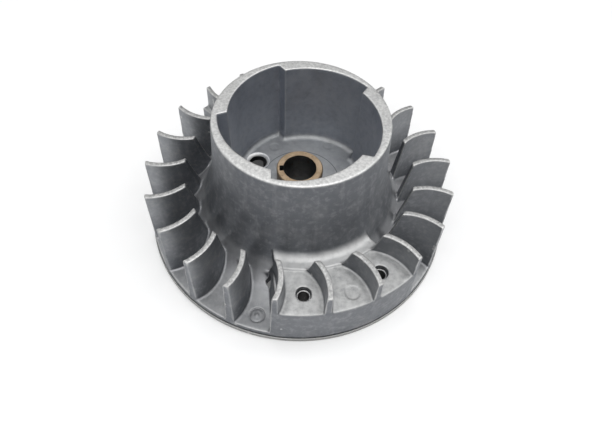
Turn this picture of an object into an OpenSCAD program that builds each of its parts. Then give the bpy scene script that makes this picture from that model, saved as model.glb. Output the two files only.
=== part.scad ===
// Fan flywheel of a small two-stroke engine.
// One aluminium die casting carries the starter cup, the fan blades and the magnet housing.
// A keyed hub insert, a block magnet and two riveted lamination stacks are cast into it.
// Frame: +Z is the spin axis, Z = 0 is the underside of the rim, angles run anticlockwise from +X.

/* [Rim and skirt] */
// Outside diameter of the rim lip
rim_d = 130; // [128:0.5:132]
// Height of the rim lip
lip_h = 2; // [1.6:0.1:2.4]
// Height of the low floor between the blades at its outer edge
low_floor_z = 4.6; // [4.2:0.1:5]
// Thickness of the cast skirt
skin = 2.8; // [2.4:0.1:3.2]

/* [Starter cup] */
// Outside diameter of the cup at its mouth
cup_d = 68; // [67:0.5:69]
// Height of the cup mouth above the underside of the rim
cup_top_z = 56.5; // [54:0.5:60]
// Height of the cup floor
cup_floor_z = 18.5; // [18:0.1:19]
// Thickness of the cup floor
cup_floor_t = 4; // [3:0.5:5]
// Number of ratchet ramps inside the cup
ramps = 5; // [3:1:6]
// Inside radius of the cup where its wall is thinnest
ramp_r_far = 31.7; // [31:0.1:32]
// Inside radius of the cup where its wall is thickest
ramp_r_near = 28; // [27.5:0.1:29]
// Angle over which a step returns from the thick wall to the thin wall
step_deg = 3.1; // [2:0.1:5]
// Direction of the first ramp's thick end
ramp_end_deg = 35.3; // [0:0.1:72]
// Diameter of the through hole in the cup floor
floor_hole_d = 7.6; // [6:0.1:8]
// Distance of the floor hole from the spin axis
floor_hole_r = 22.2; // [21.5:0.1:22.5]
// Direction of the floor hole
floor_hole_deg = 149.4; // [145:0.1:155]

/* [Fan blades] */
// Height of the blade tips
blade_top_z = 31; // [28:0.5:33]
// Radius of the outer ends of the blades at their tips
blade_r_out = 63.5; // [63:0.1:63.7]
// Radius of the inner ends of the blades at their tips
blade_r_in = 47.2; // [46.5:0.1:48]
// Thickness of a blade at its tip
blade_t = 2.1; // [1.8:0.1:2.5]
// Height of the blade's curve over its chord
blade_bulge = 1.75; // [1:0.05:2.5]
// Angle by which the inner end of a blade trails its outer end
blade_skew_deg = 1.9; // [0:0.1:4]
// Draft angle of the blade faces
blade_draft_deg = 2.2; // [1:0.1:3]
// Slant of the inner ends of the blades
inner_slant_deg = 11.5; // [8:0.5:14]
// Number of blades outside the magnet housing
free_blades = 18; // [16:1:18]

/* [Magnet housing] */
// Direction of the middle of the magnet housing
housing_deg = 291.5; // [285:0.5:295]
// Pitch of the four blades on the magnet housing
housing_pitch_deg = 17.4; // [17:0.1:18]
// Height of the flat pads of the housing
pad_z = 20.5; // [20:0.1:21]
// Inside radius of the pads
pad_r_in = 44.8; // [44:0.1:46]
// Height of the band between the pads and the cup
band_z = 21; // [20.6:0.1:21.4]
// Diameter of the holes in the pads
pad_hole_d = 5.8; // [5.7:0.1:6.4]
// Thickness of the casting over the lamination stacks
pad_t = 2.5; // [2:0.1:3]

/* [Magnet, laminations and rivets] */
// Number of laminations in each pole shoe
laminations = 13; // [10:1:13]
// Thickness of one lamination
lamination_t = 1.2; // [1:0.05:1.2]
// Inside radius of the pole shoes
pole_r_in = 48.5; // [48:0.1:49.5]
// Outside radius of the pole shoes
pole_r_out = 62.2; // [61.5:0.1:62.4]
// Half angle that the magnet and both pole shoes span
pole_half_deg = 24.3; // [23.5:0.1:24.6]
// Width of the magnet across the two pole shoes
magnet_w = 15; // [13:0.5:17]
// Radial size of the magnet
magnet_d = 11; // [9:0.5:12]
// Outside diameter of the tubular rivets
rivet_d = 5; // [4.6:0.1:5.2]
// Bore of the tubular rivets
rivet_bore_d = 4; // [3.4:0.1:4.2]
// Height of a rolled rivet head
rivet_head_h = 0.6; // [0.4:0.1:0.8]

/* [Hub insert] */
// Outside diameter of the hub insert
insert_d = 19.5; // [19:0.1:20]
// Height of the top face of the hub insert
insert_top_z = 28.3; // [26:0.1:30]
// Height of the bottom face of the hub insert and of the cast boss
insert_bottom_z = 1; // [0.5:0.1:1.5]
// Diameter of the crankshaft bore
bore_d = 14; // [13:0.1:14.5]
// Width of the keyway
key_w = 2.8; // [2.4:0.1:3]
// Depth of the keyway beyond the bore
key_depth = 1.5; // [1.2:0.1:1.8]
// Direction of the keyway
key_deg = 186; // [180:1:190]

/* [Hidden] */
$fn = 96;
eps = 0.01;
over = 5;

housing_blades = 4;
blades = housing_blades + free_blades;
lead_deg = housing_deg - housing_pitch_deg * (housing_blades - 1) / 2;
tail_deg = housing_deg + housing_pitch_deg * (housing_blades - 1) / 2;
free_pitch_deg = (360 - housing_pitch_deg * (housing_blades - 1)) / (free_blades + 1);
balance_deg = housing_deg - 179.5;
balance_half_deg = 28;

// Directions of all blades, the four of the housing first.
function blade_deg(i) =
    i < housing_blades
        ? lead_deg + i * housing_pitch_deg
        : tail_deg + (i - housing_blades + 1) * free_pitch_deg;

// The blade ends lie on one cone that runs from the blade tips out to the ledge of the rim lip.
rim_r = rim_d / 2;
lip_ledge = 0.6;
wall_slope = (rim_r - lip_ledge - blade_r_out) / (blade_top_z - lip_h);
function wall_r(z) = blade_r_out + (blade_top_z - z) * wall_slope;
function inner_r(z) = blade_r_in - (blade_top_z - z) * tan(inner_slant_deg);

// The arc of a blade through its inner and outer ends, in a frame with the outer end on +X.
blade_in = blade_r_in * [cos(blade_skew_deg), -sin(blade_skew_deg)];
blade_out = [blade_r_out, 0];
blade_chord = norm(blade_out - blade_in);
blade_dir = (blade_out - blade_in) / blade_chord;
blade_up = [-blade_dir[1], blade_dir[0]];
blade_arc_r = (pow(blade_chord / 2, 2) + pow(blade_bulge, 2)) / (2 * blade_bulge);
blade_centre = (blade_in + blade_out) / 2 + (blade_bulge - blade_arc_r) * blade_up;

// Outline of the cup and the flared skirt, from the cup mouth down to the low floor.
cup_r = cup_d / 2;
flare = [
    [cup_r, cup_top_z],
    [cup_r + 0.6, 48],
    [cup_r + 1.3, 39.5],
    [cup_r + 2.3, 32],
    [cup_r + 3.7, 26],
    [cup_r + 5.4, 20.5],
    [cup_r + 7.6, 15.8],
    [cup_r + 10.3, 11.4],
    [cup_r + 14.2, 7.8],
    [cup_r + 19, 5.6],
    [cup_r + 24, low_floor_z],
];

// The hollow underside follows the skirt one skin thickness below it.
boss_r = 15.5;
rim_wall = 4;
floor_under_z = cup_floor_z - cup_floor_t;
hollow = [
    [boss_r, -over],
    [boss_r, floor_under_z],
    [cup_r + 4.4, floor_under_z],
    [cup_r + 7.6, 9.8],
    [cup_r + 11.6, 5.8],
    [cup_r + 16.5, low_floor_z - skin + 1.2],
    [cup_r + 21, low_floor_z - skin],
    [rim_r - rim_wall, low_floor_z - skin],
    [rim_r - rim_wall, -over],
];

rib_w = 3;
rib_count = 4;
rib_deg = 45;
rib_bottom_z = 2;

pole_top_z = pad_z - pad_t;
pole_bottom_z = pole_top_z - laminations * lamination_t;
pole_hole_r = 54.9;
pole_hole_deg = 16.4;
magnet_r = 55.2;
rivet_head_d = rivet_d + 0.7;

LEADING = [for (i = [1:laminations]) str("leading_pole_lamination_", i < 10 ? "0" : "", i)];
TRAILING = [for (i = [1:laminations]) str("trailing_pole_lamination_", i < 10 ? "0" : "", i)];

module at_angle(deg) {
    rotate([0, 0, deg]) children();
}

// Flat wedge of the plane between two directions.
module wedge(from_deg, to_deg, r = 100) {
    mid_deg = (from_deg + to_deg) / 2;
    polygon([
        [0, 0],
        r * [cos(from_deg), sin(from_deg)],
        r * [cos(mid_deg), sin(mid_deg)],
        r * [cos(to_deg), sin(to_deg)],
    ]);
}

// Wedge whose first side is a slanted line between two places given by radius and direction.
module slanted_wedge(r0, deg0, r1, deg1, to_deg, r = 100) {
    mid_deg = (deg1 + to_deg) / 2;
    polygon([
        [0, 0],
        r0 * [cos(deg0), sin(deg0)],
        r1 * [cos(deg1), sin(deg1)],
        r * [cos(mid_deg), sin(mid_deg)],
        r * [cos(to_deg), sin(to_deg)],
    ]);
}

// ---- Casting ----

// Cup, skirt, rim and lip as one solid of revolution, still without its hollows.
module turned_body() {
    rotate_extrude()
        polygon(concat(
            [[0, insert_bottom_z], [0, cup_top_z]],
            flare,
            [[wall_r(low_floor_z), low_floor_z], [wall_r(lip_h), lip_h], [rim_r, lip_h]],
            [[rim_r, 0], [boss_r + 1, 0], [boss_r + 1, insert_bottom_z]]
        ));
}

// The inside of the cup: each ramp is an arc that runs from the far to the near radius.
module cup_hollow() {
    pitch = 360 / ramps;
    half = (pitch - step_deg) / 2;
    shift = (ramp_r_far - ramp_r_near) / 2 / sin(half);
    arc_r = norm(ramp_r_far * [cos(-half), sin(-half)] - [0, -shift]);
    lap = 1.5;
    translate([0, 0, cup_floor_z])
        linear_extrude(height = cup_top_z - cup_floor_z + over)
            for (i = [0:ramps - 1])
                rotate(ramp_end_deg - half + i * pitch)
                    intersection() {
                        translate([0, -shift]) circle(r = arc_r);
                        polygon([
                            [0, 0],
                            ramp_r_near * [cos(half - pitch), sin(half - pitch)],
                            ramp_r_far * [cos(-half), sin(-half)],
                            cup_d * [cos(-half), sin(-half)],
                            [cup_d * 1.2, 0],
                            cup_d * [cos(half + lap), sin(half + lap)],
                        ]);
                    }
}

// Space below the skirt, left open to the underside, with radial ribs standing in it.
module underside_hollow() {
    difference() {
        rotate_extrude() polygon(hollow);
        for (i = [0:rib_count - 1])
            at_angle(rib_deg + i * 360 / rib_count)
                translate([boss_r - 1, -rib_w / 2, rib_bottom_z])
                    cube([rim_r - boss_r - rim_wall + 2, rib_w, floor_under_z]);
    }
}

// One blade face pair: a shell between two cones around the arc's centre.
module blade_blank() {
    h = blade_top_z - low_floor_z + 2;
    spread = h * tan(blade_draft_deg);
    intersection() {
        translate([blade_centre[0], blade_centre[1], blade_top_z - h])
            difference() {
                cylinder(
                    h = h,
                    r1 = blade_arc_r + blade_t / 2 + spread,
                    r2 = blade_arc_r + blade_t / 2
                );
                translate([0, 0, -eps])
                    cylinder(
                        h = h + 2 * eps,
                        r1 = blade_arc_r - blade_t / 2 - spread,
                        r2 = blade_arc_r - blade_t / 2
                    );
            }
        translate([38, -9, 0]) cube([30, 16, blade_top_z + over]);
    }
}

// All blades, with their inner ends cut to one cone.
module blades() {
    difference() {
        for (i = [0:blades - 1])
            at_angle(blade_deg(i)) blade_blank();
        cylinder(h = blade_top_z + eps, r1 = inner_r(0), r2 = inner_r(blade_top_z + eps));
    }
}

// Raised floor up to the height of the pads, over the flat outline that is its child.
module raised_floor() {
    linear_extrude(height = pad_z)
        difference() {
            children();
            circle(r = pad_r_in);
        }
}

// Everything that stands on the skirt: it starts inside the skirt and ends at one outer cone.
module fan() {
    sunk = 1;
    intersection() {
        union() {
            blades();
            raised_floor()
                slanted_wedge(43.3, lead_deg - 6.3, 66, lead_deg + 1.2, tail_deg + 0.5);
            raised_floor()
                wedge(balance_deg - balance_half_deg, balance_deg + balance_half_deg);
        }
        rotate_extrude()
            polygon(concat(
                [[0, blade_top_z], [0, blade_top_z - 2 * sunk]],
                [for (p = flare) if (p[1] < cup_floor_z + 4) p - [0, sunk]],
                [
                    [wall_r(low_floor_z) - sunk, low_floor_z - sunk],
                    [wall_r(low_floor_z), low_floor_z],
                    [wall_r(blade_top_z), blade_top_z],
                ]
            ));
    }
}

// The band between the pads and the cup, a little higher than the pads.
module pad_band() {
    intersection() {
        rotate_extrude()
            polygon([
                [cup_r + 2, cup_floor_z],
                [cup_r + 7.6, cup_floor_z - 5.5],
                [pad_r_in + 0.2, cup_floor_z - 9],
                [pad_r_in + 0.2, band_z],
                [cup_r + 6.4, band_z],
                [cup_r + 5, band_z + 1],
                [cup_r + 2, band_z + 5],
            ]);
        linear_extrude(height = blade_top_z)
            slanted_wedge(31.6, lead_deg - 15.5, 45.8, lead_deg - 2.8, tail_deg - 1);
    }
}

// Flat outline of both pole shoes with the magnet's place left between them.
module pole_pair_outline() {
    difference() {
        intersection() {
            difference() {
                circle(r = pole_r_out);
                circle(r = pole_r_in);
            }
            wedge(-pole_half_deg, pole_half_deg);
        }
        translate([0, -magnet_w / 2]) square([rim_r, magnet_w]);
    }
}

module magnet_outline() {
    translate([magnet_r - magnet_d / 2, -magnet_w / 2]) square([magnet_d, magnet_w]);
}

// Pockets that hold the stacks and the magnet, open to the underside.
module magnet_pockets() {
    at_angle(housing_deg)
        translate([0, 0, -over])
            linear_extrude(height = pole_top_z + over) {
                pole_pair_outline();
                magnet_outline();
            }
}

module pad_holes() {
    for (side = [-1, 1])
        at_angle(housing_deg + side * pole_hole_deg)
            translate([pole_hole_r, 0, pole_top_z - 1])
                cylinder(h = pad_t + over, d = pad_hole_d);
}

module floor_hole() {
    at_angle(floor_hole_deg)
        translate([floor_hole_r, 0, 0]) {
            cylinder(h = cup_floor_z + over, d = floor_hole_d);
            translate([0, 0, cup_floor_z - 0.6])
                cylinder(h = 2, r1 = floor_hole_d / 2, r2 = floor_hole_d / 2 + 2);
        }
}

// Small window through the skirt beside the leading end of the housing.
module core_window() {
    at_angle(lead_deg - 7)
        linear_extrude(height = floor_under_z)
            polygon([[42, 0.4], [45.6, -1.4], [47.6, 1], [43.8, 1.3]]);
}

module casting() {
    color("silver")
        difference() {
            union() {
                difference() {
                    turned_body();
                    underside_hollow();
                }
                fan();
                pad_band();
            }
            cup_hollow();
            magnet_pockets();
            pad_holes();
            floor_hole();
            core_window();
            cylinder(h = cup_floor_z + over, d = insert_d);
        }
}

// ---- Cast-in pieces ----

module hub_insert() {
    chamfer = 0.4;
    color("darkgoldenrod")
        difference() {
            rotate_extrude()
                polygon([
                    [0, insert_bottom_z],
                    [insert_d / 2, insert_bottom_z],
                    [insert_d / 2, insert_top_z - chamfer],
                    [insert_d / 2 - chamfer, insert_top_z],
                    [0, insert_top_z],
                ]);
            translate([0, 0, -over])
                cylinder(h = insert_top_z + 2 * over, d = bore_d);
            at_angle(key_deg)
                translate([0, -key_w / 2, -over])
                    cube([bore_d / 2 + key_depth, key_w, insert_top_z + 2 * over]);
        }
}

module magnet() {
    color("dimgray")
        at_angle(housing_deg)
            translate([0, 0, pole_bottom_z])
                linear_extrude(height = pole_top_z - pole_bottom_z)
                    magnet_outline();
}

// One lamination of the pole shoe on the given side of the magnet.
module pole_lamination(side, index) {
    color("slategray")
        at_angle(housing_deg)
            translate([0, 0, pole_bottom_z + (index - 1) * lamination_t])
                linear_extrude(height = lamination_t)
                    difference() {
                        intersection() {
                            pole_pair_outline();
                            wedge(0, side * pole_half_deg);
                        }
                        rotate(side * pole_hole_deg)
                            translate([pole_hole_r, 0])
                                circle(d = rivet_d);
                    }
}

// Tubular rivet with a rolled head at each end of the stack.
module pole_rivet(side) {
    color("gainsboro")
        at_angle(housing_deg + side * pole_hole_deg)
            translate([pole_hole_r, 0, 0])
                rotate_extrude()
                    polygon([
                        [rivet_bore_d / 2, pole_bottom_z - rivet_head_h],
                        [rivet_head_d / 2, pole_bottom_z - rivet_head_h],
                        [rivet_head_d / 2, pole_bottom_z],
                        [rivet_d / 2, pole_bottom_z],
                        [rivet_d / 2, pole_top_z],
                        [rivet_head_d / 2, pole_top_z],
                        [rivet_head_d / 2, pole_top_z + rivet_head_h],
                        [rivet_bore_d / 2, pole_top_z + rivet_head_h],
                    ]);
}

casting();
hub_insert();
magnet();
pole_rivet(-1);  // leading_pole_rivet
pole_rivet(1);  // trailing_pole_rivet
for (i = [1:laminations]) {
    pole_lamination(-1, i);
    pole_lamination(1, i);
}
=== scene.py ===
"""Fan flywheel: the detailed casting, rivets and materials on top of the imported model."""
import math

import bpy
import numpy as np
from mathutils import Matrix, Vector


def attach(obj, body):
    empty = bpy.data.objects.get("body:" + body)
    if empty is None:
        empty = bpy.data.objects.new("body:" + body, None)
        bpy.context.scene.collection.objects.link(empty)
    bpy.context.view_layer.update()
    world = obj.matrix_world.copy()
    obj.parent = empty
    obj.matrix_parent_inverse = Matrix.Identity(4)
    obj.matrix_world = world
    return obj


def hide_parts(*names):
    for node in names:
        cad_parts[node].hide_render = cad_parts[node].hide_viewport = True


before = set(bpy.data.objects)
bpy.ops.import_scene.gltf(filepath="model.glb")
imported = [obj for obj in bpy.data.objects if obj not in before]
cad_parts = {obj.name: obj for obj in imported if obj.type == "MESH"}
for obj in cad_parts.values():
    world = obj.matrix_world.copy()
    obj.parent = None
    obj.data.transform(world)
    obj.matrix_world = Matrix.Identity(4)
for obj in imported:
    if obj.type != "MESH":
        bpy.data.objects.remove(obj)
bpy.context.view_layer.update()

MM = 0.001

# ---- Camera ----

# Fitted to the round edges of the rim, cup, bore and pad holes
CAMERA_AT = Vector((4.04, -140.74, 185.96)) * MM
CAMERA_TILT_DEG = 35.63
CAMERA_ROLL_DEG = 3.70
LENS_MM = 29.50


def add_camera():
    """The camera at the photo's angle."""
    data = bpy.data.cameras.new("camera")
    data.lens = LENS_MM
    data.sensor_width = 36.0
    data.sensor_fit = "HORIZONTAL"
    data.clip_start = 0.01
    data.clip_end = 20.0
    cam = bpy.data.objects.new("camera", data)
    bpy.context.collection.objects.link(cam)
    turn = Matrix.Rotation(math.radians(CAMERA_TILT_DEG), 4, "X")
    roll = Matrix.Rotation(math.radians(CAMERA_ROLL_DEG), 4, "Z")
    cam.matrix_world = Matrix.Translation(CAMERA_AT) @ turn @ roll
    bpy.context.scene.camera = cam


# ---- Sizes of the casting, in mm, as in the CAD model ----

RIM_R = 65.0
LIP_H = 2.0
LIP_LEDGE = 0.6
LOW_FLOOR = 4.6
SKIN = 2.8
CUP_R = 34.0
CUP_TOP = 56.5
CUP_FLOOR = 18.5
FLOOR_T = 4.0
RAMPS = 5
RAMP_FAR = 31.7
RAMP_NEAR = 28.0
STEP_DEG = 3.1
RAMP_END_DEG = 35.3
BLADE_TOP = 31.0
BLADE_R_OUT = 63.5
BLADE_R_IN = 47.2
BLADE_T = 2.1
BLADE_BULGE = 1.75
BLADE_SKEW_DEG = 1.9
INNER_SLANT = math.radians(11.5)
WALL_SLOPE = (RIM_R - LIP_LEDGE - BLADE_R_OUT) / (BLADE_TOP - LIP_H)
HOUSING_DEG = 291.5
HOUSING_PITCH = 17.4
HOUSING_BLADES = 4
FREE_BLADES = 18
LEAD_DEG = HOUSING_DEG - 1.5 * HOUSING_PITCH
TAIL_DEG = HOUSING_DEG + 1.5 * HOUSING_PITCH
FREE_PITCH = (360.0 - 3 * HOUSING_PITCH) / (FREE_BLADES + 1)
BALANCE_DEG = HOUSING_DEG - 179.5
BALANCE_HALF_DEG = 28.0
PAD_Z = 20.5
PAD_R_IN = 44.8
BAND_Z = 21.0
PAD_HOLE_R = 2.9
POLE_R = (48.5, 62.2)
POLE_HALF_DEG = 24.3
POLE_TOP = 18.0
POLE_BOTTOM = 2.4
POLE_HOLE_R = 54.9
POLE_HOLE_DEG = 16.4
MAGNET_W = 15.0
MAGNET_D = 11.0
MAGNET_R = 55.2
INSERT_R = 9.75
BOSS_R = 15.5
BOSS_BOTTOM = 1.0
RIM_WALL = 4.0
RIB_W = 3.0
RIB_BOTTOM = 2.0
FLOOR_HOLE_R = 3.8
FLOOR_HOLE_AT = (22.2, 149.4)
SKIRT_DEPTH = 1.0
# Slanted leading side of the band and of the housing: two places as radius and direction
BAND_SIDE = ((31.6, LEAD_DEG - 15.5), (45.8, LEAD_DEG - 2.8))
HOUSING_SIDE = ((43.3, LEAD_DEG - 6.3), (66.0, LEAD_DEG + 1.2))

# ---- Sizes that the CAD model leaves out or has a little differently, in mm ----

GRID_STEP = 0.4
# Outline of cup and skirt as radius and height, drawn as one smooth curve
FLARE = [
    (34.0, 56.5), (34.6, 48.0), (35.3, 39.5), (36.3, 32.0), (37.7, 26.0), (39.4, 20.5),
    (41.6, 15.8), (44.3, 11.4), (48.2, 7.8), (53.0, 5.6), (57.6, 4.7), (60.5, 4.6), (64.0, 4.6),
]
FLARE_R = [p[0] for p in FLARE]
FLARE_Z = [p[1] for p in FLARE]
CUP_FOOT_R = 2.8
CUP_RIM_R = 0.8
CUP_EDGE_R = 0.45
WALL_EDGE_R = 0.35
BLADE_DRAFT = math.tan(math.radians(1.6))
BLADE_TOP_R = 0.35
BLADE_OUTER_R = 0.3
BLADE_INNER_R = 0.5
BLADE_FILLET = 0.9
BAND_FILLET = 3.0
HOUSING_FILLET = 0.7
HOUSING_DRAFT = math.tan(math.radians(5.5))
BEVEL_FOOT = CUP_FLOOR - 0.9
RIVET_BORE_R = 2.0
RIVET_SHANK_R = 2.45
RIVET_HEAD_R = 2.85
RIVET_HEAD_H = 0.5
SCRIBE_AT = (0.6, 2.0)
SCRIBE_R = 16.6
# Core hole in the skirt beside the housing: corners as distances along and across its direction.
# It has no fourth corner and stops 1 mm further from the cup, where it would come through as a smudge.
WINDOW_DEG = LEAD_DEG - 7
WINDOW = [(42.9, 1.2), (45.6, -1.4), (47.6, 1.0)]
CAST_MARK_AT = (58.4, 257.4)
# Round marks of ejectors and of the casting: place, radius, height of the face, depth (less than 0: raised)
MARKS = [
    ((57.6, 293.5), 2.95, PAD_Z, 0.16),
    ((24.1, 121.5), 2.3, CUP_FLOOR, 0.12),
    ((26.3, 63.1), 2.3, CUP_FLOOR, 0.12),
    (CAST_MARK_AT, 3.1, LOW_FLOOR, 0.3),
    (CAST_MARK_AT, 2.45, LOW_FLOOR - 0.3, -0.24),
    (CAST_MARK_AT, 0.8, LOW_FLOOR - 0.06, -0.25),
]


# ---- Distance fields ----

def both(a, b, r):
    """Intersection of two solids whose shared edge is rounded to radius r."""
    if r <= 0:
        return np.maximum(a, b)
    return np.minimum(np.maximum(a, b), -r) + np.hypot(np.maximum(a + r, 0), np.maximum(b + r, 0))


def join(a, b, r):
    """Union of two solids with a fillet of radius r between them."""
    return -both(-a, -b, r)


def polygon_distance(points, px, py):
    """Signed distance to a closed outline, negative inside."""
    best = np.full(px.shape, 1e9)
    inside = np.zeros(px.shape, bool)
    count = len(points)
    for i in range(count):
        ax, ay = points[i]
        bx, by = points[(i + 1) % count]
        ex, ey = bx - ax, by - ay
        wx, wy = px - ax, py - ay
        along = np.clip((wx * ex + wy * ey) / (ex * ex + ey * ey + 1e-12), 0, 1)
        best = np.minimum(best, (wx - ex * along) ** 2 + (wy - ey * along) ** 2)
        if ay != by:
            crosses = (ay > py) != (by > py)
            inside ^= crosses & (px < (bx - ax) * (py - ay) / (by - ay) + ax)
    return np.where(inside, -1.0, 1.0) * np.sqrt(best)


def smooth_curve(points, per_span=8):
    """Points along a Catmull-Rom curve through the given ones."""
    p = np.array([points[0]] + list(points) + [points[-1]], float)
    out = []
    for i in range(1, len(p) - 2):
        for t in np.linspace(0, 1, per_span, endpoint=False):
            a, b, c, d = p[i - 1], p[i], p[i + 1], p[i + 2]
            out.append(tuple(0.5 * (2 * b + (c - a) * t + (2 * a - 5 * b + 4 * c - d) * t * t
                                    + (3 * b - a - 3 * c + d) * t ** 3)))
    out.append(tuple(p[-2]))
    return out


class Grid:
    """A box of distance samples, as float32, with the first index along X."""

    def __init__(self, step, r_max, z_low, z_high):
        self.step = step
        self.x = np.arange(-r_max, r_max + step, step, dtype=np.float32)
        self.y = np.arange(-r_max, r_max + step, step, dtype=np.float32)
        self.z = np.arange(z_low, z_high + step, step, dtype=np.float32)
        self.r = np.hypot(self.x[:, None], self.y[None, :])
        self.d = None

    def turned(self, outline):
        """The solid of revolution of an outline of (radius, height) points."""
        table_r = np.arange(0, self.r.max() + 0.2, 0.1)
        table = polygon_distance(outline, table_r[:, None] + 0 * self.z[None, :],
                                 0 * table_r[:, None] + self.z[None, :])
        out = np.empty(self.r.shape + self.z.shape, np.float32)
        flat = self.r.ravel()
        for k in range(len(self.z)):
            out[:, :, k] = np.interp(flat, table_r, table[:, k]).reshape(self.r.shape)
        return out

    def block(self, low, high):
        """Index ranges of the samples between two corners given in mm."""
        def span(axis, a, b):
            return slice(int(np.searchsorted(axis, a)), int(np.searchsorted(axis, b)))
        return (span(self.x, low[0], high[0]), span(self.y, low[1], high[1]),
                span(self.z, low[2], high[2]))

    def coords(self, block):
        """X, Y and Z of a block, shaped so that they broadcast."""
        return (self.x[block[0]][:, None, None], self.y[block[1]][None, :, None],
                self.z[block[2]][None, None, :])


def turned_to(x, y, deg):
    """Coordinates in a frame whose X axis points in the given direction."""
    a = math.radians(deg)
    return x * math.cos(a) + y * math.sin(a), y * math.cos(a) - x * math.sin(a)


def place_of(at):
    """X and Y of a place given as radius and direction in degrees."""
    return at[0] * math.cos(math.radians(at[1])), at[0] * math.sin(math.radians(at[1]))


def around(r0, r1, deg0, deg1, margin):
    """Lowest and highest X and Y of a piece of a ring."""
    degs = np.radians(np.linspace(deg0, deg1, 40))
    pts = np.array([(r * np.cos(degs), r * np.sin(degs)) for r in (r0, r1)])
    return (pts[:, 0].min() - margin, pts[:, 1].min() - margin,
            pts[:, 0].max() + margin, pts[:, 1].max() + margin)


def wedge_distance(x, y, deg0, deg1):
    """Signed distance to a wedge of less than half a turn, negative inside."""
    _, start = turned_to(x, y, deg0)
    _, end = turned_to(x, y, deg1)
    return np.maximum(-start, end)


def side_distance(x, y, side):
    """Signed distance to a line through two places, negative on its anticlockwise side."""
    (x0, y0), (x1, y1) = place_of(side[0]), place_of(side[1])
    dx, dy = x1 - x0, y1 - y0
    return ((x - x0) * dy - (y - y0) * dx) / math.hypot(dx, dy)


def wall_distance(r, z):
    """Distance outside the cone that all blades end on."""
    return r - (BLADE_R_OUT + (BLADE_TOP - z) * WALL_SLOPE)


def cup_outline():
    """Outline of the inside of the cup, with its ratchet ramps."""
    pitch = 360.0 / RAMPS
    half = math.radians((pitch - STEP_DEG) / 2)
    shift = (RAMP_FAR - RAMP_NEAR) / 2 / math.sin(half)
    arc = math.hypot(RAMP_FAR * math.cos(half), RAMP_FAR * math.sin(-half) + shift)
    out = []
    for i in range(RAMPS):
        turn = math.radians(RAMP_END_DEG + i * pitch) - half
        for phi in np.linspace(-half, half, 24):
            s = shift * math.sin(phi)
            radius = -s + math.sqrt(s * s - shift * shift + arc * arc)
            out.append((radius * math.cos(phi + turn), radius * math.sin(phi + turn)))
    return out


def carve_body(g):
    """Cup, skirt and rim with the hollow cup and the hollow underside."""
    # The curve is closed far outside the part, where the cuts below bound it
    flare = smooth_curve(FLARE)
    low = [(100.0, LOW_FLOOR), (100.0, -60.0), (0.0, -60.0), (0.0, 90.0), (33.6, 90.0), (33.8, 66.0)]
    d = g.turned(flare + low)
    z = g.z[None, None, :]
    r = g.r[:, :, None]
    d = both(d, wall_distance(r, z), WALL_EDGE_R)
    d = both(d, z - CUP_TOP, CUP_RIM_R)
    d = both(d, 0.2 - z, 0.0)
    cup = polygon_distance(cup_outline(), g.x[:, None] + 0 * g.y[None, :],
                           0 * g.x[:, None] + g.y[None, :]).astype(np.float32)
    d = both(d, -both(cup[:, :, None], CUP_FLOOR - z, CUP_FOOT_R), CUP_EDGE_R)
    under = CUP_FLOOR - FLOOR_T
    hollow = g.turned([
        (BOSS_R, -9.0), (BOSS_R, under), (CUP_R + 4.4, under), (CUP_R + 7.6, 9.8),
        (CUP_R + 11.6, 5.8), (CUP_R + 16.5, LOW_FLOOR - SKIN + 1.2), (CUP_R + 21, LOW_FLOOR - SKIN),
        (RIM_R - RIM_WALL, LOW_FLOOR - SKIN), (RIM_R - RIM_WALL, -9.0),
    ])
    ax, ay = np.abs(g.x)[:, None, None], np.abs(g.y)[None, :, None]
    rib = both(np.abs(ax - ay) / math.sqrt(2) - RIB_W / 2, RIB_BOTTOM - z, 0.4)
    hollow = both(hollow, -rib, 1.0)
    d = both(d, -hollow, 0.5)
    d = np.maximum(d, -np.maximum(r - BOSS_R - 0.4, z - BOSS_BOTTOM))
    g.d = d


def skirt_distance(r, z):
    """Positive deeper than SKIRT_DEPTH under the top of the skirt."""
    return np.interp(r, FLARE_R, FLARE_Z) - SKIRT_DEPTH - z


def blade_arc():
    """Centre and radius of a blade's middle line, with its outer end on the X axis."""
    skew = math.radians(BLADE_SKEW_DEG)
    inner = np.array([BLADE_R_IN * math.cos(skew), -BLADE_R_IN * math.sin(skew)])
    outer = np.array([BLADE_R_OUT, 0.0])
    chord = np.linalg.norm(outer - inner)
    along = (outer - inner) / chord
    up = np.array([-along[1], along[0]])
    radius = ((chord / 2) ** 2 + BLADE_BULGE ** 2) / (2 * BLADE_BULGE)
    return (inner + outer) / 2 + (BLADE_BULGE - radius) * up, radius


def add_blades(g):
    """All fan blades, curved in plan, with draft, and slanted on their inner end."""
    centre, radius = blade_arc()
    degs = [LEAD_DEG + i * HOUSING_PITCH for i in range(HOUSING_BLADES)]
    degs += [TAIL_DEG + (i + 1) * FREE_PITCH for i in range(FREE_BLADES)]
    for deg in degs:
        x0, y0, x1, y1 = around(38.5, 66.0, deg - 7.0, deg + 6.0, 1.5)
        block = g.block((x0, y0, 0.5), (x1, y1, BLADE_TOP + 2))
        x, y, z = g.coords(block)
        u, v = turned_to(x, y, deg)
        r = np.hypot(x, y)
        half = BLADE_T / 2 + (BLADE_TOP - z) * BLADE_DRAFT
        face = np.abs(np.hypot(u - centre[0], v - centre[1]) - radius) - half
        inner = (BLADE_R_IN - (BLADE_TOP - z) * math.tan(INNER_SLANT) - r) * math.cos(INNER_SLANT)
        blade = both(face, z - BLADE_TOP, BLADE_TOP_R)
        blade = both(blade, wall_distance(r, z), BLADE_OUTER_R)
        blade = both(blade, inner, BLADE_INNER_R)
        blade = np.maximum(blade, np.maximum(v - 7.0, -9.0 - v))
        blade = np.maximum(blade, skirt_distance(r, z))
        g.d[block] = join(g.d[block], blade, BLADE_FILLET)


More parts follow.
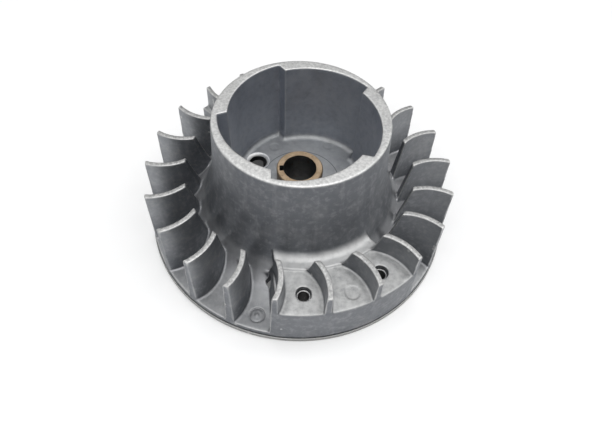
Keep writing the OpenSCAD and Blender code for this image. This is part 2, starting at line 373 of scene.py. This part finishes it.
def add_band(g):
    """The band between the magnet housing and the cup, filleted into the cup."""
    deg1 = TAIL_DEG - 1
    x0, y0, x1, y1 = around(30.0, 50.0, LEAD_DEG - 18, deg1 + 4, 3.0)
    block = g.block((x0, y0, 4.0), (x1, y1, BAND_Z + 9))
    x, y, z = g.coords(block)
    r = np.hypot(x, y)
    ring = np.maximum(z - BAND_Z, r - PAD_R_IN - 0.1)
    ring = np.maximum(ring, np.maximum(skirt_distance(r, z), CUP_R + 0.5 - r))
    sides = np.maximum(side_distance(x, y, BAND_SIDE), turned_to(x, y, deg1)[1])
    band = both(join(g.d[block], ring, BAND_FILLET), sides, 0.4)
    g.d[block] = np.minimum(g.d[block], band)


def add_raised_floors(g):
    """The magnet housing and the balance block."""
    def housing(x, y, z):
        lead = side_distance(x, y, HOUSING_SIDE) - (PAD_Z - z) * HOUSING_DRAFT
        return np.maximum(lead, turned_to(x, y, TAIL_DEG + 0.5)[1])

    def balance(x, y, z):
        return wedge_distance(x, y, BALANCE_DEG - BALANCE_HALF_DEG, BALANCE_DEG + BALANCE_HALF_DEG)

    for middle, half, outline in ((HOUSING_DEG, 35.0, housing), (BALANCE_DEG, 32.0, balance)):
        x0, y0, x1, y1 = around(40.0, 66.0, middle - half, middle + half, 1.0)
        block = g.block((x0, y0, 2.0), (x1, y1, PAD_Z + 3))
        x, y, z = g.coords(block)
        r = np.hypot(x, y)
        floor = both(outline(x, y, z), z - PAD_Z, 0.4)
        floor = both(floor, wall_distance(r, z), 0.5)
        floor = np.maximum(floor, np.maximum(PAD_R_IN - r, skirt_distance(r, z)))
        g.d[block] = join(g.d[block], floor, HOUSING_FILLET)


def cut(g, low, high, tool, edge):
    """Takes a tool away from the samples between two corners; tool gets X, Y and Z."""
    block = g.block(low, high)
    g.d[block] = both(g.d[block], -tool(*g.coords(block)), edge)


def round_hole(g, at, radius, edge, low, high):
    """Drills upright at a place given as radius and direction, between two heights."""
    px, py = place_of(at)
    size = radius + 3.5
    cut(g, (px - size, py - size, low), (px + size, py + size, high),
        lambda x, y, z: np.hypot(x - px, y - py) - radius + 0 * z, edge)


def chamfer(g, at, radius, low):
    """Bevels a round hole at 45 degrees, from its wall at the height low outwards."""
    px, py = place_of(at)
    size = radius + 3.2
    cut(g, (px - size, py - size, low - 1), (px + size, py + size, low + 3),
        lambda x, y, z: (np.hypot(x - px, y - py) - radius + low - z) * 0.7071, 0.15)


def cut_holes(g):
    """Pole pockets, pad holes, floor hole, insert seat and the window in the skirt."""
    def pockets(x, y, z):
        u, v = turned_to(x, y, HOUSING_DEG)
        r = np.hypot(x, y)
        ring = np.maximum(r - POLE_R[1], POLE_R[0] - r)
        shoes = np.maximum(ring, wedge_distance(u, v, -POLE_HALF_DEG, POLE_HALF_DEG))
        shoes = np.maximum(shoes, MAGNET_W / 2 - np.abs(v))
        magnet = np.maximum(np.abs(u - MAGNET_R) - MAGNET_D / 2, np.abs(v) - MAGNET_W / 2 - 0.1)
        return np.maximum(np.minimum(shoes, magnet), z - POLE_TOP)

    def window(x, y, z):
        u, v = turned_to(x, y, WINDOW_DEG)
        return np.maximum(polygon_distance(WINDOW, u, v), z - (CUP_FLOOR - FLOOR_T)).astype(np.float32)

    x0, y0, x1, y1 = around(*POLE_R, HOUSING_DEG - POLE_HALF_DEG, HOUSING_DEG + POLE_HALF_DEG, 3)
    cut(g, (x0, y0, -3), (x1, y1, POLE_TOP + 1.5), pockets, 0)
    for side in (-1, 1):
        pole_at = (POLE_HOLE_R, HOUSING_DEG + side * POLE_HOLE_DEG)
        round_hole(g, pole_at, PAD_HOLE_R, 0.3, POLE_TOP - 1, PAD_Z + 9.5)
    round_hole(g, FLOOR_HOLE_AT, FLOOR_HOLE_R, 0.3, 8, CUP_FLOOR + 5.5)
    chamfer(g, FLOOR_HOLE_AT, FLOOR_HOLE_R, BEVEL_FOOT)
    round_hole(g, (0.0, 0.0), INSERT_R, 0.25, -3, CUP_FLOOR + 11.5)
    x0, y0, x1, y1 = around(38, 50, WINDOW_DEG - 4, WINDOW_DEG + 4, 1)
    cut(g, (x0, y0, -3), (x1, y1, CUP_FLOOR + 5.5), window, 0.3)


def dimple(g, at, radius, face_z, depth):
    """A flat round mark, sunk (or raised, if depth is negative) from a level face."""
    px, py = place_of(at)
    size = radius + 2
    block = g.block((px - size, py - size, face_z - 2), (px + size, py + size, face_z + 2))
    x, y, z = g.coords(block)
    disc = np.hypot(x - px, y - py) - radius
    if depth > 0:
        g.d[block] = np.maximum(g.d[block], -np.maximum(disc, face_z - depth - z))
    else:
        g.d[block] = np.minimum(g.d[block], np.maximum(disc, z - face_z + depth))


def surface_net(g):
    """Vertices (mm) and quads of the zero surface of the distance samples."""
    d = g.d
    inside = d < 0
    nx, ny, nz = d.shape
    corner_sum = np.zeros((nx - 1, ny - 1, nz - 1), np.uint8)
    for i in (0, 1):
        for j in (0, 1):
            for k in (0, 1):
                corner_sum += inside[i:nx - 1 + i, j:ny - 1 + j, k:nz - 1 + k]
    active = (corner_sum > 0) & (corner_sum < 8)
    cells = np.argwhere(active)
    index = np.full(active.shape, -1, np.int32)
    index[active] = np.arange(len(cells), dtype=np.int32)
    total = np.zeros((len(cells), 3), np.float64)
    hits = np.zeros(len(cells), np.float64)
    ci, cj, ck = cells[:, 0], cells[:, 1], cells[:, 2]
    for axis in range(3):
        others = [a for a in range(3) if a != axis]
        for s in (0, 1):
            for t in (0, 1):
                off = np.zeros(3, int)
                off[others[0]] = s
                off[others[1]] = t
                end = off.copy()
                end[axis] = 1
                a = d[ci + off[0], cj + off[1], ck + off[2]]
                b = d[ci + end[0], cj + end[1], ck + end[2]]
                crosses = (a < 0) != (b < 0)
                # Kept off the corners, where the vertices of several cells would coincide
                where = np.where(crosses, np.clip(a / np.where(crosses, a - b, 1), 0.1, 0.9), 0)
                point = np.tile(off.astype(float), (len(cells), 1))
                point[:, axis] = where
                total += point * crosses[:, None]
                hits += crosses
    places = cells + total / hits[:, None]
    verts = np.empty_like(places)
    verts[:, 0] = g.x[0] + places[:, 0] * g.step
    verts[:, 1] = g.y[0] + places[:, 1] * g.step
    verts[:, 2] = g.z[0] + places[:, 2] * g.step
    quads = []
    for axis in range(3):
        change = inside != np.roll(inside, -1, axis)
        keep = [slice(1, -1)] * 3
        keep[axis] = slice(0, -1)
        where = np.argwhere(change[tuple(keep)])
        base = where + np.array([1 if s.start == 1 else 0 for s in keep])
        o1, o2 = [a for a in range(3) if a != axis]
        corners = []
        for s, t in ((1, 1), (0, 1), (0, 0), (1, 0)):
            cell = base.copy()
            cell[:, o1] -= s
            cell[:, o2] -= t
            corners.append(index[cell[:, 0], cell[:, 1], cell[:, 2]])
        quad = np.stack(corners, 1)
        goes_out = inside[base[:, 0], base[:, 1], base[:, 2]]
        flip = goes_out if axis == 1 else ~goes_out
        quad[flip] = quad[flip][:, ::-1]
        quads.append(quad)
    return verts, np.concatenate(quads)


def settle(verts, g, rounds=2):
    """Moves each vertex back to the zero surface along the field's slope."""
    d = g.d
    shape = np.array(d.shape)
    origin = np.array([g.x[0], g.y[0], g.z[0]])
    for _ in range(rounds):
        p = np.clip((verts - origin) / g.step, 0.501, shape - 2.501)
        base = np.floor(p).astype(int)
        f = p - base
        value = np.zeros(len(verts))
        slope = np.zeros((len(verts), 3))
        for i in (0, 1):
            for j in (0, 1):
                for k in (0, 1):
                    s = d[base[:, 0] + i, base[:, 1] + j, base[:, 2] + k]
                    wx = f[:, 0] if i else 1 - f[:, 0]
                    wy = f[:, 1] if j else 1 - f[:, 1]
                    wz = f[:, 2] if k else 1 - f[:, 2]
                    value += s * wx * wy * wz
                    slope[:, 0] += s * (1 if i else -1) * wy * wz
                    slope[:, 1] += s * (1 if j else -1) * wx * wz
                    slope[:, 2] += s * (1 if k else -1) * wx * wy
        slope /= g.step
        size = (slope ** 2).sum(1)
        move = np.clip(value / np.maximum(size, 0.2), -0.5 * g.step, 0.5 * g.step)
        verts -= slope * move[:, None]
    return verts


def mesh_from(name, verts, quads):
    """A smooth-shaded mesh from vertices in mm and quads."""
    mesh = bpy.data.meshes.new(name)
    mesh.vertices.add(len(verts))
    mesh.vertices.foreach_set("co", (verts * MM).astype(np.float32).ravel())
    mesh.loops.add(quads.size)
    mesh.loops.foreach_set("vertex_index", quads.astype(np.int32).ravel())
    mesh.polygons.add(len(quads))
    mesh.polygons.foreach_set("loop_start", np.arange(0, quads.size, 4, dtype=np.int32))
    mesh.polygons.foreach_set("use_smooth", np.ones(len(quads), bool))
    mesh.update(calc_edges=True)
    mesh.validate()
    return mesh


def rim_lip():
    """Vertices (mm) and quads of the lip round the foot of the wall, with its ledge and groove."""
    wall = RIM_R - LIP_LEDGE
    outline = [
        (wall - 3.0, 0.0), (RIM_R - 0.45, 0.0), (RIM_R - 0.2, 0.08), (RIM_R - 0.06, 0.25), (RIM_R, 0.5),
        (RIM_R, LIP_H - 0.4), (RIM_R - 0.05, LIP_H - 0.18), (RIM_R - 0.15, LIP_H - 0.05),
        (RIM_R - 0.3, LIP_H), (wall + 0.28, LIP_H - 0.02), (wall + 0.2, LIP_H - 0.5),
        (wall - 0.12, LIP_H - 0.5), (wall - 0.3, LIP_H - 0.1), (wall - 3.0, LIP_H - 0.1),
    ]
    count, turns = len(outline), 720
    a = np.linspace(0, 2 * np.pi, turns, endpoint=False)[:, None]
    r = np.array([p[0] for p in outline])[None, :]
    z = np.array([p[1] for p in outline])[None, :] + 0 * a
    verts = np.stack([r * np.cos(a), r * np.sin(a), z], 2).reshape(-1, 3)
    i, k = np.meshgrid(np.arange(turns), np.arange(count), indexing="ij")
    j, m = (i + 1) % turns, (k + 1) % count
    quads = np.stack([i * count + k, j * count + k, j * count + m, i * count + m], 2)
    return verts, quads.reshape(-1, 4)


def add_casting():
    """The whole casting as one mesh."""
    # The grid starts off the round values, so that level faces fall between its samples
    g = Grid(GRID_STEP, RIM_R + 1.53, -1.17, CUP_TOP + 1.3)
    carve_body(g)
    add_band(g)
    add_blades(g)
    add_raised_floors(g)
    for mark in MARKS:
        dimple(g, *mark)
    cut_holes(g)
    verts, quads = surface_net(g)
    verts = settle(verts, g)
    lip_verts, lip_quads = rim_lip()
    lip_quads = lip_quads + len(verts)
    mesh = mesh_from("cast_body", np.concatenate([verts, lip_verts]), np.concatenate([quads, lip_quads]))
    piece = bpy.data.objects.new("cast_body", mesh)
    bpy.context.collection.objects.link(piece)
    return piece


# ---- Rivets ----

def lathe(name, outline, at, segments=72):
    """A closed ring turned from an outline of (radius, height) points round a vertical axis."""
    mesh = bpy.data.meshes.new(name)
    verts, faces = [], []
    count = len(outline)
    for i in range(segments):
        a = 2 * math.pi * i / segments
        for r, z in outline:
            verts.append(((at[0] + r * math.cos(a)) * MM, (at[1] + r * math.sin(a)) * MM, z * MM))
    for i in range(segments):
        j = (i + 1) % segments
        for k in range(count):
            m = (k + 1) % count
            faces.append((i * count + k, j * count + k, j * count + m, i * count + m))
    mesh.from_pydata(verts, [], faces)
    mesh.shade_smooth()
    piece = bpy.data.objects.new(name, mesh)
    bpy.context.collection.objects.link(piece)
    return piece


def rolled_head(z, up, steps=10):
    """Outline of one rolled-over rivet end, from the bore out to the shank."""
    mid = (RIVET_BORE_R + RIVET_HEAD_R) / 2
    half = (RIVET_HEAD_R - RIVET_BORE_R) / 2
    pts = [(RIVET_BORE_R, z)]
    for t in np.linspace(math.pi, 0, steps):
        pts.append((mid + half * math.cos(t), z + up * (0.05 + RIVET_HEAD_H * math.sin(t))))
    pts.append((RIVET_HEAD_R - 0.02, z))
    pts.append((RIVET_SHANK_R, z))
    return pts


def add_rivet(name, deg):
    """A tubular rivet with both ends rolled over, at a direction on the poles' circle."""
    top = rolled_head(POLE_TOP, 1)
    bottom = rolled_head(POLE_BOTTOM, -1)
    return lathe(name, bottom + top[::-1], place_of((POLE_HOLE_R, deg)))


# ---- Materials ----

class Nodes:
    """Short forms for building a material's node tree."""

    def __init__(self, name):
        self.material = bpy.data.materials.new(name)
        self.material.use_nodes = True
        self.tree = self.material.node_tree
        self.shader = self.tree.nodes["Principled BSDF"]

    def add(self, kind, **settings):
        """A new node; each setting is an input of it or else a property."""
        node = self.tree.nodes.new(kind)
        for key, value in settings.items():
            if key in node.inputs:
                node.inputs[key].default_value = value
            else:
                setattr(node, key, value)
        return node

    def link(self, source, target):
        self.tree.links.new(source, target)

    def place(self):
        """Place on the object, in metres."""
        return self.add("ShaderNodeTexCoord").outputs["Object"]

    def noise(self, scale, detail=4.0, rough=0.55, vector=None):
        """Noise from 0 to 1, with its scale in waves per metre."""
        node = self.add("ShaderNodeTexNoise", Scale=scale, Detail=detail, Roughness=rough)
        self.link(vector or self.place(), node.inputs["Vector"])
        return node.outputs["Fac"]

    def stretched(self, scale):
        """Place with each axis scaled, for streaks."""
        node = self.add("ShaderNodeVectorMath", operation="MULTIPLY")
        self.link(self.place(), node.inputs[0])
        node.inputs[1].default_value = scale
        return node.outputs["Vector"]

    def parts(self, vector):
        """X, Y and Z of a vector."""
        node = self.add("ShaderNodeSeparateXYZ")
        self.link(vector, node.inputs[0])
        return node.outputs[:3]

    def from_axis(self, x, y, at=(0.0, 0.0)):
        """Distance from an upright axis at X and Y in mm."""
        dx = self.math("SUBTRACT", x, at[0] * MM)
        dy = self.math("SUBTRACT", y, at[1] * MM)
        squared = self.math("ADD", self.math("MULTIPLY", dx, dx), self.math("MULTIPLY", dy, dy))
        return self.math("SQRT", squared)

    def span(self, value, low, high, to_low=0.0, to_high=1.0):
        """A value from low to high turned into one from to_low to to_high, and clamped."""
        node = self.add("ShaderNodeMapRange")
        for key, number in zip(("From Min", "From Max", "To Min", "To Max"), (low, high, to_low, to_high)):
            node.inputs[key].default_value = number
        self.link(value, node.inputs["Value"])
        return node.outputs["Result"]

    def span_mm(self, value, low, high, to_low=0.0, to_high=1.0):
        """The same for a length, with low and high in mm."""
        return self.span(value, low * MM, high * MM, to_low, to_high)

    def math(self, operation, a, b=None):
        """A sum of sockets or numbers."""
        node = self.add("ShaderNodeMath", operation=operation)
        for i, value in enumerate((a, b)):
            if value is None:
                continue
            if isinstance(value, (int, float)):
                node.inputs[i].default_value = value
            else:
                self.link(value, node.inputs[i])
        return node.outputs[0]

    def mix(self, factor, a, b):
        """Colour a turning into colour b as the factor goes from 0 to 1."""
        node = self.add("ShaderNodeMix", data_type="RGBA")
        self.link(factor, node.inputs["Factor"])
        for key, value in (("A", a), ("B", b)):
            socket = [s for s in node.inputs if s.name == key and s.type == "RGBA"][0]
            if isinstance(value, tuple):
                socket.default_value = value + (1.0,)
            else:
                self.link(value, socket)
        return [s for s in node.outputs if s.type == "RGBA"][0]

    def over(self, tone, colour, *factors):
        """A colour laid over a tone as far as the product of the factors goes."""
        product = factors[0]
        for factor in factors[1:]:
            product = self.math("MULTIPLY", product, factor)
        return self.mix(product, tone, colour)

    def bump(self, height, strength, distance_mm, before=None):
        """A normal bumped by a height from 0 to 1, on top of an earlier bump if there is one."""
        node = self.add("ShaderNodeBump", Strength=strength, Distance=distance_mm * MM)
        self.link(height, node.inputs["Height"])
        if before:
            self.link(before, node.inputs["Normal"])
        return node.outputs["Normal"]


# Tones of the casting by kind of face, as painted light and shade: faces that look up are painted lighter
# and walls darker, and the low floor, slopes, blade faces, cup inside, lip, ledge, pads, band, blade tops
# and cup rim get tones that stand in for their light; two values are mixed by a noise
WALL_TONES = (0.172, 0.181, 0.197), (0.213, 0.222, 0.238)
FLAT_TONES = (0.345, 0.352, 0.36), (0.425, 0.43, 0.43)
PAD_TONES = (0.37, 0.373, 0.372), (0.47, 0.472, 0.468)
BLADE_TOP_TONES = (0.34, 0.34, 0.338), (0.56, 0.56, 0.55)
CUP_RIM_TONES = (0.58, 0.58, 0.575), (0.76, 0.76, 0.75)
LOW_FLOOR_SHADE_TONE = (0.28, 0.285, 0.295)
SLOPE_LIGHT_TONE = (0.50, 0.505, 0.52)
BLADE_FACE_LIGHT_TONE = (0.42, 0.43, 0.445)
CUP_INSIDE_LIGHT_TONE = (0.41, 0.435, 0.485)
LIP_TONE = (0.25, 0.25, 0.243)
LEDGE_HIGHLIGHT_TONE = (0.48, 0.48, 0.47)
BAND_TONE = (0.49, 0.492, 0.49)
# Tones of what lies on the metal, and of painted highlights and painted shade
BLOTCH_TONE = (0.50, 0.50, 0.50)
BRIGHT_SPECK_TONE = (0.56, 0.56, 0.56)
DARK_SPECK_TONE = (0.14, 0.147, 0.16)
DRAWN_TONE = (0.50, 0.50, 0.51)
# painted highlight on convex edges
EDGE_HIGHLIGHT_TONE = (0.66, 0.66, 0.65)
# painted shade in concave corners
CORNER_SHADE_TONE = (0.16, 0.165, 0.17)
SCRIBE_TONE = (0.10, 0.105, 0.11)
# painted highlight on the floor hole's bevel
BEVEL_HIGHLIGHT_TONE = (0.80, 0.80, 0.79)
# painted shade in the bore of the floor hole
HOLE_SHADE_TONE = (0.03, 0.032, 0.035)
# painted shade round the window in the skirt
WINDOW_SHADE_TONE = (0.05, 0.052, 0.058)
WINDOW_SHADE_AT = (45.0, LEAD_DEG - 6.5)
WINDOW_SHADE_TOP = 7.8


def cast_aluminium():
    """Bare die-cast metal with painted light and shade: its tone follows how far each face looks up and
    where it lies, under grain, stains, painted edge highlights and painted corner shade.
    """
    n = Nodes("cast_aluminium")
    grain = n.noise(1100, 3)
    mottle = n.noise(420, 5, 0.65)
    blotch = n.noise(110, 5, 0.6)
    cloud = n.span(n.noise(24, 3), 0.35, 0.65)
    crown = n.span(n.noise(900, 4, 0.6), 0.38, 0.62)
    drawn = n.noise(260, 4, 0.6, n.stretched((1.0, 1.0, 0.12)))
    x, y, z = n.parts(n.place())
    radius = n.from_axis(x, y)
    geometry = n.add("ShaderNodeNewGeometry")
    facing = n.parts(geometry.outputs["Normal"])[2]
    edge = geometry.outputs["Pointiness"]

    # Painted light and shade by kind of face, by height and radius in mm and by how far the face looks up
    # painted shade: the low floor between the blades is darker
    low = n.span_mm(z, LOW_FLOOR + 1.4, LOW_FLOOR + 0.4, 0.0, 0.6)
    flat = n.over(n.mix(cloud, *FLAT_TONES), LOW_FLOOR_SHADE_TONE, low)
    # painted light and shade: faces that look up are lighter, walls darker
    tone = n.over(n.mix(cloud, *WALL_TONES), flat, n.span(facing, 0.35, 0.95))
    # painted light: the sloped faces of the skirt are lighter
    tone = n.over(tone, SLOPE_LIGHT_TONE, n.span(facing, 0.30, 0.55), n.span(facing, 0.97, 0.80),
                  n.span_mm(z, PAD_Z - 1.5, PAD_Z - 4.0))
    # painted light: blade faces are lighter towards their outer ends
    tone = n.over(tone, BLADE_FACE_LIGHT_TONE, n.span_mm(z, BLADE_TOP - 20.0, BLADE_TOP - 10.0),
                  n.span_mm(radius, BLADE_R_IN - 0.7, BLADE_R_OUT - 3.5),
                  n.span_mm(radius, BLADE_R_OUT + 0.1, BLADE_R_OUT - 0.5, 0.0, 0.55))
    # painted light with a bluish cast on the cup's inner walls
    tone = n.over(tone, CUP_INSIDE_LIGHT_TONE, n.span_mm(radius, CUP_R - 0.8, CUP_R - 1.2),
                  n.span(facing, 0.6, 0.3), n.span_mm(z, CUP_FLOOR, CUP_FLOOR + 0.5))
    # painted light and shade on the lip: its outer side a mid tone, its ledge a painted highlight
    lip_r = RIM_R - LIP_LEDGE
    tone = n.over(tone, LIP_TONE, n.span_mm(radius, lip_r - 0.12, lip_r),
                  n.span_mm(z, LIP_H + 0.1, LIP_H - 0.1))
    tone = n.over(tone, LEDGE_HIGHLIGHT_TONE, n.span_mm(z, LIP_H + 0.2, LIP_H + 0.1), n.span(facing, 0.8, 0.95))
    # painted light: the pads, the band, the blade tops and the cup rim, which look up, are painted lighter,
    # over a real mottle
    pad = n.mix(n.span(mottle, 0.35, 0.62), *PAD_TONES)
    tone = n.over(tone, pad, n.span_mm(z, PAD_Z - 0.7, PAD_Z - 0.3), n.span(facing, 0.8, 0.97))
    tone = n.over(tone, BAND_TONE, n.span_mm(z, BAND_Z - 0.4, BAND_Z - 0.2),
                  n.span_mm(z, BAND_Z + 2.5, BAND_Z + 0.3), n.span(facing, 0.45, 0.75))
    tone = n.over(tone, n.mix(crown, *BLADE_TOP_TONES), n.span_mm(z, BLADE_TOP - 1.0, BLADE_TOP - 0.4),
                  n.span(facing, 0.55, 0.9))
    tone = n.over(tone, n.mix(crown, *CUP_RIM_TONES), n.span_mm(z, CUP_TOP - 1.5, CUP_TOP - 0.9),
                  n.span(facing, 0.55, 0.9))

    # Stains and specks, a painted highlight on convex edges and painted shade in concave corners
    tone = n.over(tone, BLOTCH_TONE, n.span(blotch, 0.5, 0.8, 0.0, 0.3))
    tone = n.over(tone, BRIGHT_SPECK_TONE, n.span(mottle, 0.50, 0.75, 0.0, 0.30))
    tone = n.over(tone, DARK_SPECK_TONE, n.span(mottle, 0.50, 0.25, 0.0, 0.24))
    tone = n.over(tone, DRAWN_TONE, n.span(drawn, 0.56, 0.75, 0.0, 0.25))
    # painted highlight on convex edges, found by pointiness
    tone = n.over(tone, EDGE_HIGHLIGHT_TONE, n.span(edge, 0.515, 0.56, 0.0, 0.62))
    # painted shade in concave corners and creases
    tone = n.over(tone, CORNER_SHADE_TONE, n.span(edge, 0.44, 0.485, 0.25, 0.0))

    # Scribed circle on the cup floor, a painted highlight on the floor hole's bevel, painted shade in its
    # bore and painted shade round the window's inside
    off_line = n.math("ABSOLUTE", n.math("SUBTRACT", n.from_axis(x, y, SCRIBE_AT), SCRIBE_R * MM))
    tone = n.over(tone, SCRIBE_TONE, n.span_mm(off_line, 0.22, 0.12, 0.0, 0.75),
                  n.span_mm(z, CUP_FLOOR + 0.4, CUP_FLOOR + 0.2),
                  n.span_mm(z, CUP_FLOOR - 0.5, CUP_FLOOR - 0.2))
    from_hole = n.from_axis(x, y, place_of(FLOOR_HOLE_AT))
    # painted highlight on the bevel of the floor hole
    tone = n.over(tone, BEVEL_HIGHLIGHT_TONE, n.span_mm(from_hole, FLOOR_HOLE_R + 1.5, FLOOR_HOLE_R + 1.2),
                  n.span_mm(z, BEVEL_FOOT - 0.4, BEVEL_FOOT))
    # painted shade in the bore of the floor hole
    tone = n.over(tone, HOLE_SHADE_TONE, n.span_mm(from_hole, FLOOR_HOLE_R + 0.7, FLOOR_HOLE_R + 0.4),
                  n.span_mm(z, BEVEL_FOOT, BEVEL_FOOT - 0.4))
    # painted shade round the window in the skirt, below a height
    from_window = n.from_axis(x, y, place_of(WINDOW_SHADE_AT))
    tone = n.over(tone, WINDOW_SHADE_TONE, n.span_mm(from_window, 4.0, 3.0), n.span_mm(z, WINDOW_SHADE_TOP, WINDOW_SHADE_TOP - 0.8))

    n.link(tone, n.shader.inputs["Base Color"])
    n.shader.inputs["Metallic"].default_value = 1.0
    n.link(n.span(blotch, 0.3, 0.7, 0.50, 0.64), n.shader.inputs["Roughness"])
    normal = n.bump(grain, 0.4, 0.06)
    normal = n.bump(mottle, 0.35, 0.12, normal)
    normal = n.bump(blotch, 0.2, 0.2, normal)
    n.link(normal, n.shader.inputs["Normal"])
    return n.material


HUB_TOP_TONES = (0.42, 0.30, 0.185), (0.60, 0.455, 0.31)
HUB_SIDE_TONES = (0.17, 0.115, 0.075), (0.27, 0.195, 0.135)
HUB_BORE_TONES = (0.13, 0.13, 0.13), (0.22, 0.22, 0.215)
HUB_PORE_TONE = (0.16, 0.10, 0.06)


def hub_steel():
    """Tan sintered metal with turned rings, grey in the bore, with painted shade that makes its side darker
    than its top.
    """
    n = Nodes("hub_steel")
    stain = n.noise(300, 5, 0.65)
    patch = n.span(stain, 0.35, 0.7)
    pores = n.noise(700, 3)
    x, y, _ = n.parts(n.place())
    facing = n.parts(n.add("ShaderNodeNewGeometry").outputs["Normal"])[2]
    # painted shade: the side is darker than the top, which looks up
    side = n.over(n.mix(patch, *HUB_SIDE_TONES), n.mix(patch, *HUB_BORE_TONES),
                  n.span_mm(n.from_axis(x, y), INSERT_R - 0.75, INSERT_R - 1.03))
    tone = n.over(side, n.mix(patch, *HUB_TOP_TONES), n.span(facing, 0.4, 0.8))
    tone = n.over(tone, HUB_PORE_TONE, n.span(pores, 0.6, 0.75, 0.0, 0.6))
    n.link(tone, n.shader.inputs["Base Color"])
    n.shader.inputs["Metallic"].default_value = 1.0
    n.link(n.span(stain, 0.3, 0.7, 0.36, 0.52), n.shader.inputs["Roughness"])
    rings = n.add("ShaderNodeTexWave", wave_type="RINGS", rings_direction="Z", Scale=900.0, Distortion=1.5)
    n.link(n.place(), rings.inputs["Vector"])
    normal = n.bump(rings.outputs["Fac"], 0.25, 0.03)
    normal = n.bump(stain, 0.3, 0.08, normal)
    n.link(normal, n.shader.inputs["Normal"])
    return n.material


RIVET_TONES = (0.30, 0.30, 0.30), (0.46, 0.46, 0.455)
MAGNET_TONES = (0.05, 0.05, 0.055), (0.10, 0.10, 0.11)
LAMINATION_TONES = (0.20, 0.205, 0.21), (0.32, 0.325, 0.33)


def plain_metal(name, tones, rough, scale, metallic=1.0):
    """A metal in patches between two tones, with a fine bump."""
    n = Nodes(name)
    patch = n.noise(scale, 5, 0.6)
    n.link(n.mix(n.span(patch, 0.3, 0.7), *tones), n.shader.inputs["Base Color"])
    n.shader.inputs["Metallic"].default_value = metallic
    n.link(n.span(patch, 0.3, 0.7, rough - 0.06, rough + 0.08), n.shader.inputs["Roughness"])
    n.link(n.bump(n.noise(scale * 3, 3), 0.3, 0.05), n.shader.inputs["Normal"])
    return n.material


def paint(piece, material):
    """Gives a new piece its only material."""
    piece.data.materials.clear()
    piece.data.materials.append(material)


def repaint(node, material):
    """Gives a CAD node's object another material without touching its mesh."""
    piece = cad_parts[node]
    for slot in piece.material_slots:
        slot.material = material


# ---- Floor and lights ----

FLOOR_HALF = 3.0
FLOOR_GAP_MM = 0.3
FLOOR_TONES = (0.75, 0.75, 0.75), (0.79, 0.79, 0.79)
FLOOR_GLOW = 0.14
SOFT_BOX_DISTANCE = 1.0
SKY_COLOUR = (0.9, 0.95, 1.0, 1.0)
SKY_STRENGTH = 0.04


def add_floor():
    """A pale sheet just under the rim that glows a little, so that it stays white."""
    mesh = bpy.data.meshes.new("floor")
    corners = [(-1, -1), (1, -1), (1, 1), (-1, 1)]
    mesh.from_pydata([(FLOOR_HALF * i, FLOOR_HALF * j, 0) for i, j in corners], [], [(0, 1, 2, 3)])
    floor = bpy.data.objects.new("floor", mesh)
    bpy.context.collection.objects.link(floor)
    floor.location.z = -FLOOR_GAP_MM * MM
    n = Nodes("floor_paper")
    n.link(n.mix(n.span(n.noise(3.0, 3), 0.3, 0.7), *FLOOR_TONES), n.shader.inputs["Base Color"])
    n.shader.inputs["Roughness"].default_value = 0.8
    n.shader.inputs["Specular IOR Level"].default_value = 0.1
    n.shader.inputs["Emission Color"].default_value = (1.0, 1.0, 1.0, 1.0)
    n.shader.inputs["Emission Strength"].default_value = FLOOR_GLOW
    paint(floor, n.material)


# name, azimuth and elevation in degrees, width and height in metres, power in watts
SOFT_BOXES = [
    ("soft_box_top", 0, 90, (0.8, 0.8), 5.2),
    ("soft_box_right", 0, 62, (0.7, 0.55), 2.3),
    ("soft_box_left_back", 120, 62, (0.7, 0.55), 0.7),
    ("soft_box_left_front", 245, 55, (0.7, 0.55), 1.3),
    ("low_box_right_back", 30, 35, (0.75, 0.45), 1.95),
    ("low_box_back", 90, 35, (0.75, 0.45), 0.3),
    ("low_box_left_back", 150, 35, (0.75, 0.45), 1.85),
    ("low_box_left", 210, 35, (0.75, 0.45), 1.1),
    ("low_box_front", 265, 35, (0.75, 0.45), 2.3),
    ("low_box_right_front", 330, 35, (0.75, 0.45), 1.2),
]


def add_light(name, azimuth, elevation, size, power):
    """A soft box that faces the object from the given direction."""
    a, e = math.radians(azimuth), math.radians(elevation)
    away = Vector((math.cos(e) * math.cos(a), math.cos(e) * math.sin(a), math.sin(e)))
    data = bpy.data.lights.new(name, "AREA")
    data.shape = "RECTANGLE"
    data.size, data.size_y = size
    data.energy = power
    lamp = bpy.data.objects.new(name, data)
    bpy.context.collection.objects.link(lamp)
    lamp.location = away * SOFT_BOX_DISTANCE + Vector((0, 0, 0.02))
    lamp.rotation_euler = away.to_track_quat("Z", "Y").to_euler()


def add_world():
    """A faint even sky behind the soft boxes."""
    world = bpy.data.worlds.new("studio")
    world.use_nodes = True
    back = world.node_tree.nodes["Background"]
    back.inputs["Color"].default_value = SKY_COLOUR
    back.inputs["Strength"].default_value = SKY_STRENGTH
    bpy.context.scene.world = world


def build():
    """The studio, the casting, the two rivets and the materials of the CAD nodes."""
    add_camera()
    add_world()
    add_floor()
    for name, azimuth, elevation, size, power in SOFT_BOXES:
        add_light(name, azimuth, elevation, size, power)
    aluminium = cast_aluminium()
    casting = add_casting()
    paint(casting, aluminium)
    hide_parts("casting")
    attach(casting, "root")
    rivet_metal = plain_metal("rivet_steel", RIVET_TONES, 0.32, 500)
    for side, name in ((-1, "leading"), (1, "trailing")):
        rivet = add_rivet(name + "_rolled_rivet", HOUSING_DEG + side * POLE_HOLE_DEG)
        paint(rivet, rivet_metal)
        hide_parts(name + "_pole_rivet")
        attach(rivet, "root")
    repaint("hub_insert", hub_steel())
    repaint("magnet", plain_metal("magnet", MAGNET_TONES, 0.5, 400, 0.6))
    lamination = plain_metal("lamination_steel", LAMINATION_TONES, 0.42, 350)
    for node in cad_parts:
        if "lamination" in node:
            repaint(node, lamination)
    scene = bpy.context.scene
    scene.view_settings.view_transform = "Standard"


build()
